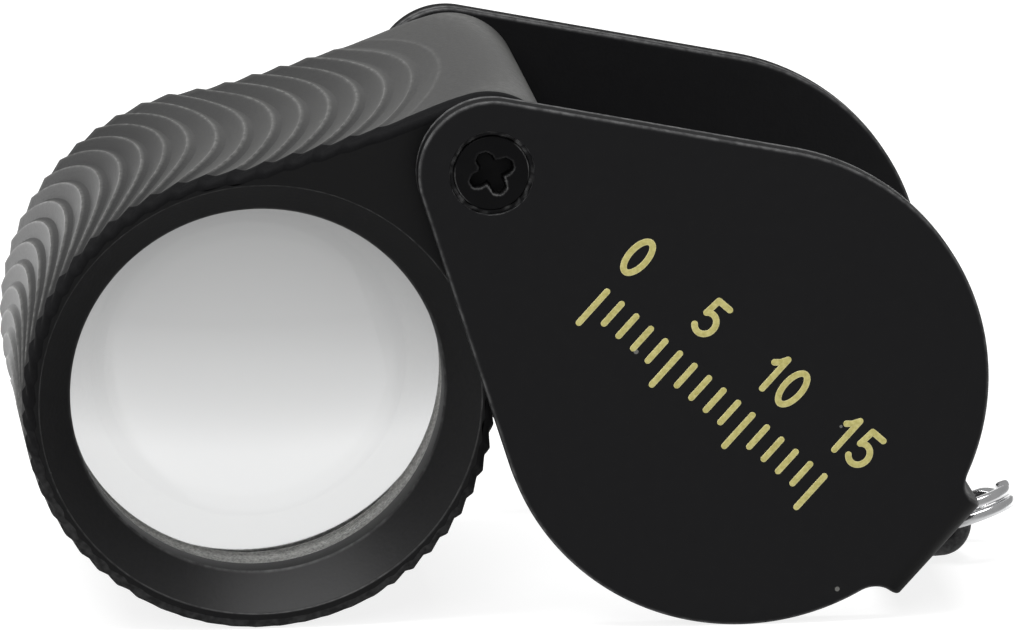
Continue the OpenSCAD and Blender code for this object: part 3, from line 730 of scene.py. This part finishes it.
front, rear = stand["headFront"], stand["headRear"]
mouth, opening = head["mouth"], head["opening"]
insideRows = [(mouth + 0.2, front)]
insideRows += [(mouth + inset, front + down) for inset, down in rounding(head["lip"])]
cone = np.array([[mouth, front + head["lip"]], [opening + 0.06, -0.06]])
insideRows += [tuple(cone[0] + (cone[1] - cone[0]) * t) for t in (0.05, 0.5, 0.95)]
insideRows += [(opening + 0.06, -0.06), (opening + 0.02, -0.02), (opening, 0.04),
               (opening, head["lipEnd"] - 0.04), (opening + 0.04, head["lipEnd"])]
insideRows += profileOf(head, "bore lipEnd, bore boreEnd, mouth boreEnd")
insideRows += [(mouth + down, rear - inset) for inset, down in rounding(head["lip"])]
insideRows += [(mouth + 0.2, rear)]

# all rows in turn, each with its wear and painted highlight and its painted shade: inside, rear face,
# rear rounding, side, front rounding, front face
none = 0 * station
# worn lip edges, painted lighter as highlight lines at the funnel's outer and inner edges
lipWearAndHighlight = {3: 0.5, 4: 0.8, 5: 0.5, len(quarter) + 4: 0.6, len(quarter) + 5: 0.6}
headRows = [(ringRow(r, y), none + lipWearAndHighlight.get(k, 0.0), none) for k, (r, y) in enumerate(insideRows)]
headRows += [(sideRow(rear, head["rearEdge"] + 0.05, 0.7), none, grooveShade(rear))]
headRows += [(sideRow(rear - down, inset, 0.8), none + 0.15, grooveShade(rear - down))
             for inset, down in rounding(head["rearEdge"])]
sideStart, sideEnd = front + head["edge"], rear - head["rearEdge"]
headRows += [(sideRow(y, 0.0, 1.0), crestWearAndHighlight * smoothStep((y - sideStart) / 1.2), grooveShade(y))
             for y in np.linspace(sideEnd, sideStart, head["sideRows"])[1:-1]]
headRows += [(sideRow(front + down, inset, 0.75 + 0.25 * math.sin(a)), lowWear, none)
             for a, (inset, down) in zip(quarter[::-1], rounding(head["edge"])[::-1])]
headRows += [(sideRow(front, head["edge"] + 0.05, 0.7), none, none)]
headPoints, headWearAndHighlight, headShade = map(np.stack, zip(*headRows))
rounds = len(quarter)
finishOf = np.zeros(headWearAndHighlight.shape, int)
finishOf[len(insideRows) + rounds:-2 - rounds] = 1  # side
finishOf[rounds:rounds + 5] = 2  # funnel
finishOf[-2 - rounds:-1] = 3  # front rounding
headFinishes = [headPlastic, gripPlastic, funnelPlastic, edgePlastic]
lensHead = gridPiece("lensHead", headPoints, closedRows=True, parts=finishOf,
                     marks={"edge": headWearAndHighlight, "reach": headShade}, finishes=headFinishes)
postProfile = [(0.0, -2.0), (head["postHole"], -2.0), (head["postHole"], 24.0), (0.0, 24.0)]
carve(lensHead, [latheParts("postHole", postProfile, 64, caseAxes, pivot, closedRows=False)])
finishPiece(lensHead, "head", headFinishes, ["lens_housing"], sharp=24.0)


# Lens barrel, its mouth finely ridged in front of the glass
barrel = {
    "outer": 10.2, "mouth": 9.15, "front": 1.22, "rear": 12.4824, "glassBore": 9.55, "seat": 3.5455,
    "threadBore": 9.8, "threadStart": 10.1624, "ridge": 0.21, "ridgeDepth": 0.13,
}
crest, groove = barrel["mouth"], barrel["mouth"] + barrel["ridgeDepth"]
barrelProfile = [(crest + 0.04, barrel["front"])]
barrelProfile += profileOf(barrel, "outer front, outer rear, threadBore rear, threadBore threadStart, "
                                   "glassBore threadStart, glassBore seat, mouth seat")
height = barrel["seat"] - 0.12
while height > barrel["front"] + barrel["ridge"]:
    barrelProfile += [(crest, height), (crest + 0.02, height - 0.04), (groove, height - 0.10),
                      (groove, height - 0.13), (crest + 0.02, height - 0.19)]
    height -= barrel["ridge"]
lensBarrel = latheParts("lensBarrel", barrelProfile, 160, rowAxes, np.zeros(3))
finishPiece(lensBarrel, "head", [anodised], ["lens_barrel"], even=False)

# Triplet: its two outer curves and the blackened cylinder between them
triplet = {"radius": 9.5, "curve": 22.0, "frontVertex": 1.5725, "rearVertex": 12.0875, "rows": 26}
reach = triplet["radius"] * np.linspace(0, 1, triplet["rows"])
sag = triplet["curve"] - np.sqrt(triplet["curve"] ** 2 - reach ** 2)
tripletProfile = np.concatenate([
    np.stack([reach, triplet["frontVertex"] + sag], 1),
    np.stack([reach[::-1], triplet["rearVertex"] - sag[::-1]], 1),
])
onRim = np.zeros((len(tripletProfile), 144), int)
onRim[triplet["rows"] - 1] = 1
lensGlass = gridPiece("lensGlass", latheGrid(tripletProfile, 144, rowAxes, np.zeros(3)), parts=onRim,
                      finishes=[glass, glassEdge])
finishPiece(lensGlass, "head", [glass, glassEdge],
            ["front_flint_lens", "crown_lens", "rear_flint_lens"], even=False)


# Rings on the object side, each with two slots for a pin spanner
bezel = {"opening": 9.0, "outer": 10.55, "front": 12.5224, "lipEnd": 13.62, "mouth": 10.22, "coneEnd": 15.44}
retainer = {"opening": 9.0, "outer": 9.75, "front": 10.1824, "rear": 12.4824}
spanner = {"width": 1.2, "depth": 0.6, "reach": 12.0}


def slottedRing(name, profile, slotTop, replaced, material, edge):
    # a turned ring, with one straight cut across it that leaves two slots
    piece = latheParts(name, profile, 160, rowAxes, np.zeros(3), edge=edge)
    corners = np.array([[-1, -1], [-1, 1], [1, 1], [1, -1]]) * [spanner["reach"], spanner["width"] / 2]
    box = np.array([[[x, y, z] for x, z in corners] for y in (slotTop - spanner["depth"], slotTop + 0.5)])
    lids = np.stack([box[0] * [0, 1, 0], box[0], box[1], box[1] * [0, 1, 0]])
    carve(piece, [gridPiece("slots", placed(lids, headAxes, np.zeros(3)))])
    finishPiece(piece, "head", [material], [replaced])


bezelProfile = profileOf(bezel, "opening front, opening lipEnd, opening lipEnd, mouth coneEnd")
bezelProfile[2] = (bezel["opening"] + 0.02, bezel["lipEnd"] + 0.06)
bezelProfile += cornerArc((bezel["mouth"] + 0.1, bezel["coneEnd"] + 0.02), 0.1, 170, 90, 4)
bezelProfile += cornerArc((bezel["outer"] - 0.08, bezel["coneEnd"] + 0.04), 0.08, 90, 0, 4)
bezelProfile += [(bezel["outer"], bezel["front"])]
slottedRing("rearBezel", bezelProfile, stand["headRear"], "rear_bezel_ring", headPlastic,
            [0, 0, 0, 0.3] + [1] * 8 + [0])
retainerProfile = [(retainer["opening"], retainer["front"]),
                   (retainer["opening"], retainer["rear"] - 0.0824)]
retainerProfile += cornerArc((retainer["opening"] + 0.08, retainer["rear"] - 0.08), 0.08, 180, 90, 4)
retainerProfile += cornerArc((retainer["outer"] - 0.08, retainer["rear"] - 0.08), 0.08, 90, 0, 4)
retainerProfile += [(retainer["outer"], retainer["front"])]
slottedRing("lensRetainer", retainerProfile, retainer["rear"], "lens_retaining_ring", anodised,
            [0, 0] + [1] * 8 + [0])


# Pivot screws: countersunk heads with a cross recess
screw = {
    "headRadius": 1.8, "sink": 0.08, "edgeEnd": 0.23, "coneEnd": 0.78, "threadRadius": 1.25,
    "threadEnd": 6.28, "crossTip": 1.14, "crossWidth": 0.84, "crossDepth": 0.6, "crossTurn": 63.0,
    "edgeRound": 0.07, "columns": 176, "fineReach": 1.26,
}


def screwPiece(name, axes, origin, turn, replaced):
    # polar grid over the head, finer in the middle and lowered inside a cross of two round-ended slots,
    # then edge, cone and thread
    fine, r, e = screw["fineReach"], screw["headRadius"], screw["edgeRound"]
    radius = np.concatenate([np.linspace(0, fine, 50), np.linspace(fine + 0.04, r - e, 7)])[:, None]
    angle = fullTurn(screw["columns"])
    x = radius * np.cos(angle + math.radians(turn))
    z = radius * np.sin(angle + math.radians(turn))
    run = screw["crossTip"] - screw["crossWidth"] / 2
    slotOne = np.hypot(np.maximum(np.abs(x) - run, 0), z)
    slotTwo = np.hypot(np.maximum(np.abs(z) - run, 0), x)
    ragged = 0.02 * np.sin(5 * angle + 1.3) + 0.014 * np.sin(19 * angle) + 0.01 * np.sin(43 * angle + 0.6)
    merged = -np.log(np.exp(-slotOne / 0.07) + np.exp(-slotTwo / 0.07)) * 0.07
    outside = merged - screw["crossWidth"] / 2 + ragged
    floorDepth = screw["crossDepth"] * (1 - 0.3 * radius / screw["crossTip"])
    sunk = floorDepth * smoothStep(-outside / 0.10)
    burr = 0.022 * np.exp(-((outside - 0.03) / 0.05) ** 2)
    height = screw["sink"] + 0.03 * (radius / r) ** 4 + sunk - burr
    top = np.stack([radius * np.cos(angle), height, radius * np.sin(angle)], 2)
    start = screw["sink"] + 0.025
    side = [(r - e + e * math.sin(a), start + e * (1 - math.cos(a))) for a in quarter[1:]]
    side += [(r, screw["edgeEnd"]), (screw["threadRadius"], screw["coneEnd"])]
    threads = np.arange(screw["coneEnd"] + 0.1, screw["threadEnd"] - 0.3, 0.11)
    side += [(screw["threadRadius"] - (0.0 if k % 3 == 0 else 0.12), h) for k, h in enumerate(threads)]
    side += [(screw["threadRadius"] - 0.15, screw["threadEnd"]), (0.0, screw["threadEnd"])]
    side = np.array(side)
    grid = np.concatenate([placed(top, axes, origin), latheGrid(side, screw["columns"], axes, origin)])
    # painted glints along the recess rim, stronger on one side; partly burrs
    atEdge = np.exp(-((outside - 0.02) / 0.04) ** 2)
    atEdge *= 0.12 + 0.6 * smoothStep(0.2 + 0.8 * np.cos(angle + 0.6))
    rest = np.zeros((len(side), screw["columns"]))
    # painted highlight arcs on two sides of the head's rounded edge
    rest[:5] = 0.6 * smoothStep(1.4 * np.cos(2 * (angle - 1.1)) - 0.3)
    reachMark = np.concatenate([radius, radius[-1] + lengthAlong(side)])
    # painted shade in the cross recess, darkest at its walls
    deepMark = smoothStep((sunk - 0.05) / 0.2) * (1 - 0.75 * smoothStep((sunk - 0.38) / 0.12))
    deepMark = np.concatenate([deepMark, 0 * rest])
    made = gridPiece(name, grid, marks={"edge": np.concatenate([atEdge, rest]), "reach": reachMark,
                                        "deep": deepMark})
    finishPiece(made, "case", [blackSteel], [replaced], sharp=60.0)


screwPiece("frontScrew", caseAxes, pivot, screw["crossTurn"] - stand["caseDrop"], "front_pivot_screw")
screwPiece("rearScrew", flipped, rearFace, -2 * screw["crossTurn"] - stand["caseDrop"], "rear_pivot_screw")

# Swivel eye: a round lug with a hole, a collar outside the bight and a riveted end inside
eye = {
    "lug": 1.7, "thick": 1.5, "hole": 0.9, "round": 0.42, "holeRound": 0.22, "shank": 0.95,
    "shankEnd": -1.15, "collar": 1.55, "collarOut": -1.35, "collarIn": -1.75, "rivetSeat": -3.35,
    "rivetEnd": -3.8,
}
half = eye["thick"] / 2
lug, hole = eye["lug"] - eye["round"], eye["hole"] + eye["holeRound"]
lugProfile = cornerArc((lug, half - eye["round"]), eye["round"], 90, 0, 7)
lugProfile += cornerArc((lug, eye["round"] - half), eye["round"], 0, -90, 7)
lugProfile += cornerArc((hole, eye["holeRound"] - half), eye["holeRound"], 270, 180, 5)
lugProfile += cornerArc((hole, half - eye["holeRound"]), eye["holeRound"], 180, 90, 5)
swivelEye = latheParts("swivelEye", lugProfile, 80, eyeAxes, eyeHole)
rivet = [(0.0, 0.0), (0.5, 0.02), (0.95, 0.09), (1.25, 0.2), (1.44, 0.33), (1.5, 0.41), (1.47, 0.445),
         (1.4, 0.45)]
shankProfile = [(r, eye["rivetEnd"] + h) for r, h in rivet]
shankProfile += profileOf(eye, "shank rivetSeat, shank collarIn") + [(eye["collar"] - 0.1, eye["collarIn"])]
shankProfile += cornerArc((eye["collar"] - 0.12, eye["collarIn"] + 0.12), 0.12, -90, 0, 4)
shankProfile += cornerArc((eye["collar"] - 0.2, eye["collarOut"] - 0.2), 0.2, 0, 90, 5)
shankProfile += [(eye["shank"] + 0.15, eye["collarOut"]), (eye["shank"] + 0.03, eye["collarOut"] + 0.05),
                 (eye["shank"], eye["shankEnd"]), (0.0, eye["shankEnd"])]
shankAxes = np.array([eyeAxes[1], eyeAxes[0], -eyeAxes[2]])
shank = latheParts("shank", shankProfile, 72, shankAxes, eyeHole, closedRows=False,
                   edge=[0.2] * len(shankProfile))
carve(swivelEye, [shank], "UNION")
finishPiece(swivelEye, "eye", [castBlack], ["lanyard_eye"], sharp=40.0)


# Split ring: two turns of a flat wire
ring = {
    "middle": 1.925, "wide": 0.7, "thick": 0.55, "rise": 0.62, "start": 44.0, "sweep": 660.0,
    "jogFrom": 300.0, "jog": 60.0, "rows": 420, "columns": 22, "corner": 3.2, "spring": 0.16,
    "springFrom": 640.0,
}


def splitRingGrid(sizes):
    # a rounded bar (superellipse) along two turns of a circle, stepping up from one turn to the next
    # between them: (R cos a, R sin a, rise * (ease - 1/2)); both ends shrink to a rounded tip
    angle = np.radians(np.linspace(0, sizes["sweep"], sizes["rows"]))
    walked = np.degrees(angle)
    lift = sizes["rise"] * (smoothStep((walked - sizes["jogFrom"]) / sizes["jog"]) - 0.5)
    late = (walked - sizes["springFrom"]) / (sizes["sweep"] - sizes["springFrom"])
    lift += sizes["spring"] * smoothStep(late)
    tip = np.minimum(angle, angle[-1] - angle) * sizes["middle"]
    scale = np.sqrt(np.clip(1 - (1 - np.clip(tip / 0.1, 0, 1)) ** 2, 0, 1))
    turn = fullTurn(sizes["columns"])
    power = 2 / sizes["corner"]
    wide = 0.5 * sizes["wide"] * np.sign(np.cos(turn)) * np.abs(np.cos(turn)) ** power
    thick = 0.5 * sizes["thick"] * np.sign(np.sin(turn)) * np.abs(np.sin(turn)) ** power
    start = math.radians(sizes["start"])
    radius = sizes["middle"] + scale[:, None] * wide
    return np.stack([sizes["middle"] + radius * np.cos(start + angle)[:, None],
                     radius * np.sin(start + angle)[:, None],
                     lift[:, None] + scale[:, None] * thick], 2)


ringWalk = np.linspace(0, ring["sweep"], ring["rows"])[:, None]
cutEnds = np.clip(1.4 - np.minimum(ringWalk, ring["sweep"] - ringWalk) / 6, 0, 1)
splitRing = gridPiece("splitRing", placed(splitRingGrid(ring), ringAxes, eyeHole), marks={"edge": cutEnds})
finishPiece(splitRing, "ring", [chrome], ["split_ring"], even=False)

# Plain numbered scale in gold on the front plate, its steps a little under a millimetre
scale = {
    "start": 8.1, "height": 1.85, "base": 0.55, "stroke": 0.32, "proud": 0.014, "tickTop": -0.75,
    "tick": 1.25, "longTick": 2.0, "count": 15, "pitch": 0.95,
}


def ribbonGrid(path, width, proud):
    # a flat stroke along a path on the plate, with round ends, its height falling to the plate at both
    # sides; a path that ends where it starts has no ends
    path = np.array(path, float)
    closed = np.allclose(path[0], path[-1])
    fine = [path[0]]
    for a, b in zip(path[:-1], path[1:]):
        steps = max(2, int(np.hypot(*(b - a)) / 0.12))
        fine += [a + (b - a) * k / steps for k in range(1, steps + 1)]
    fine = np.array(fine)
    way = np.gradient(fine, axis=0)
    if closed:
        way[0] = way[-1] = way[0] + way[-1]
    way /= np.hypot(*way.T)[:, None]
    capShare = np.sin(quarter)[:-1]
    capSlide = np.cos(quarter)[:-1]
    half = width / 2
    startCap = fine[0] - way[0] * half * capSlide[:, None]
    endCap = fine[-1] + way[-1] * half * capSlide[::-1, None]
    line = np.concatenate([startCap, fine, endCap])
    wayAll = np.concatenate([np.repeat(way[:1], 5, 0), way, np.repeat(way[-1:], 5, 0)])
    wide = np.concatenate([capShare, np.ones(len(fine)), capShare[::-1]]) * half
    if closed:
        line, wayAll, wide = fine[:-1], way[:-1], np.full(len(fine) - 1, half)
    aside = np.stack([-wayAll[:, 1], wayAll[:, 0]], 1)
    offset = np.array([-1, -0.97, -0.75, 0, 0.75, 0.97, 1])
    lift = np.array([0, 0.7, 1, 1, 1, 0.7, 0]) * proud
    flat = line[:, None] + aside[:, None] * wide[:, None, None] * offset[:, None]
    top = np.stack([flat[..., 0], case["faceSink"] - lift + 0 * flat[..., 0], flat[..., 1]], 2)
    under = top[:, ::-1].copy()
    under[..., 1] = case["faceSink"] + 0.004
    rimMark = np.concatenate([np.abs(offset) > 0.9, 0 * offset > 1])[None, :] * 1.0
    return np.concatenate([top, under], 1), rimMark, closed


def digitPaths(digit):
    # strokes of a digit in a box one high and 0.62 wide
    if digit == "1":
        return [[(0.33, 1.0), (0.33, 0.0)], [(0.1, 0.72), (0.22, 0.82), (0.3, 0.95)]]
    if digit == "0":
        turn = np.linspace(0, 2 * np.pi, 37)
        return [np.stack([0.31 + 0.24 * np.sin(turn), 0.5 + 0.5 * np.cos(turn)], 1)]
    turn = np.radians(np.linspace(128, -140, 22))
    bowl = np.stack([0.27 + 0.27 * np.cos(turn), 0.33 + 0.3 * np.sin(turn)], 1)
    return [[(0.52, 1.0), (0.14, 1.0)], [(0.14, 1.0), (0.1, 0.56)], bowl]


strokes = []
for mark in range(scale["count"] + 1):
    place = scale["start"] + mark * scale["pitch"]
    long = mark % 5 == 0
    length = scale["longTick"] if long else scale["tick"]
    strokes.append([(place, scale["tickTop"]), (place, scale["tickTop"] - length)])
    if long:
        word = str(mark)
        left = place - 0.62 * scale["height"] * len(word) / 2
        for digit in word:
            for path in digitPaths(digit):
                strokes.append(np.array(path) * scale["height"] + [left, scale["base"]])
            left += 0.64 * scale["height"]
shells = []
for number, path in enumerate(strokes):
    grid, rimMark, closed = ribbonGrid(path, scale["stroke"], scale["proud"] - 0.0015 * (number % 3))
    shells.append(gridPiece("stroke%d" % number, placed(grid, caseAxes, pivot), closedRows=closed,
                            marks={"edge": rimMark}))
scaleMarks = joinPieces("scaleMarks", shells)
finishPiece(scaleMarks, "case", [goldPaint], even=False)

# The other nodes keep their shape and take the same finishes
for label, material in (("pivot_post", brass), ("front_friction_washer", nylon),
                        ("rear_friction_washer", nylon), ("eye_washer", blackSteel)):
    for slot in nodes[label].material_slots:
        slot.material = material
print("pieces made")

# Floor, world and lamps, with their lengths in metres
studio = {
    "floor": 0.3, "floorGlow": 0.84, "floorSoft": 0.6, "nearShine": 0.0, "farShine": 0.85,
    "shineStart": 0.022, "shineReach": 0.01, "glassStart": 0.027, "glassReach": 0.031, "nearGlass": 0.295,
    "farGlass": 0.9, "centre": (-0.007, 0.0), "side": 3.0, "front": 0.22, "back": 0.5,
    "frontMirror": 0.34, "backMirror": 0.32, "glass": 0.9,
}
floorMesh = bpy.data.meshes.new("floor")
level = stand["floorHeight"] * 0.001
corners = [(x * studio["side"], y * studio["side"], level) for x, y in ((-1, -1), (1, -1), (1, 1), (-1, 1))]
floorMesh.from_pydata(corners, [], [(0, 1, 2, 3)])
addObject("floor", floorMesh)
floorPaint, tree, shader, place = newMaterial("floorPaint", Roughness=0.9, Specular_IOR_Level=0.1)
cloud = addNode(tree, "TexNoise", Vector=place, Scale=14.0, Detail=2.0)
floorTone = blendColour(tree, cloud.outputs[0], (studio["floor"],) * 3, (studio["floor"] * 1.03,) * 3)
feed(tree, shader.inputs["Base Color"], floorTone)
ray = addNode(tree, "LightPath")
away = addNode(tree, "VectorMath", operation="DISTANCE")
feed(tree, away.inputs[0], place)
feed(tree, away.inputs[1], (*studio["centre"], level))


def growing(start, reach, near, far):
    # the floor's light at distance d from the loupe: far - (far - near) exp(-(d - start) / reach)
    past = calc(tree, "MAXIMUM", calc(tree, "SUBTRACT", away.outputs["Value"], start), 0.0)
    fall = calc(tree, "EXPONENT", times(tree, past, -1 / reach))
    return calc(tree, "MULTIPLY_ADD", fall, near - far, far)


shine = growing(studio["shineStart"], studio["shineReach"], studio["nearShine"], studio["farShine"])
# painted shadow: the floor seen through the glass glows less near the loupe
inGlass = growing(studio["glassStart"], studio["glassReach"], studio["nearGlass"], studio["farGlass"])
# metal and paint don't show that glow on the floor in front of the loupe
behind = spread(tree, addNode(tree, "SeparateXYZ", Vector=place).outputs["Y"], -0.012, 0.016, 0.0, 1.0)
glow = calc(tree, "ADD", times(tree, ray.outputs["Is Camera Ray"], studio["floorGlow"]),
            times(tree, ray.outputs["Is Glossy Ray"], times(tree, shine, behind)))
glow = calc(tree, "MULTIPLY_ADD", ray.outputs["Is Diffuse Ray"], studio["floorSoft"], glow)
both = addNode(tree, "AddShader")
choice = addNode(tree, "MixShader")
for socket, value in (
    (both.inputs[0], shader.outputs[0]),
    (both.inputs[1], addNode(tree, "Emission", Color=(1, 1, 1, 1), Strength=glow).outputs[0]),
    (choice.inputs[0], ray.outputs["Is Transmission Ray"]),
    (choice.inputs[1], both.outputs[0]),
    (choice.inputs[2], addNode(tree, "Emission", Color=(1, 1, 1, 1), Strength=inGlass).outputs[0]),
    (tree.nodes["Material Output"].inputs["Surface"], choice.outputs[0]),
):
    feed(tree, socket, value)
floorMesh.materials.append(floorPaint)

world = bpy.data.worlds.new("studio")
bpy.context.scene.world = world
world.use_nodes = True
tree = world.node_tree
ray = addNode(tree, "LightPath")
# the room is darker in front of the loupe than behind it
depth = addNode(tree, "SeparateXYZ", Vector=addNode(tree, "TexCoord").outputs["Generated"]).outputs["Y"]
soft = spread(tree, depth, -0.9, 0.8, studio["front"], studio["back"])
mirror = spread(tree, depth, -0.9, 0.8, studio["frontMirror"], studio["backMirror"])


def choose(share, first, second):
    # first where the share is 0, second where it is 1
    return calc(tree, "MULTIPLY_ADD", share, calc(tree, "SUBTRACT", second, first), first)


strength = choose(ray.outputs["Is Glossy Ray"], soft, mirror)
strength = choose(ray.outputs["Is Transmission Ray"], strength, studio["glass"])
strength = calc(tree, "MAXIMUM", strength, ray.outputs["Is Camera Ray"])
background = tree.nodes["Background"]
feed(tree, background.inputs["Color"], (1, 1, 1, 1))
feed(tree, background.inputs["Strength"], strength)

lamps = {
    "overhead": {"place": (-0.1, -0.06, 0.6), "aim": (0.0, 0.0, 0.0), "size": (0.6, 0.25), "power": 5.0},
    "left": {"place": (-0.6, 0.1, 0.03), "aim": (0.0, 0.0, 0.0), "size": (0.16, 0.16), "power": 0.5},
    "front": {"place": (-0.25, -0.5, 0.5), "aim": (0.012, 0.0, 0.0), "size": (0.4, 0.4), "power": 1.2},
}
for label, lamp in lamps.items():
    data = bpy.data.lights.new(label, "AREA")
    data.shape = "RECTANGLE"
    data.size, data.size_y = lamp["size"]
    data.energy = lamp["power"]
    made = addObject(label, data)
    made.visible_transmission = False
    back = np.array(lamp["place"]) - np.array(lamp["aim"])
    back /= np.linalg.norm(back)
    aside = np.cross([0, 1.0, 0.01], back)
    aside /= np.linalg.norm(aside)
    standAt(made, np.stack([aside, np.cross(back, aside), back], 1), lamp["place"])
bpy.context.scene.view_settings.view_transform = "Standard"
print("stage set")
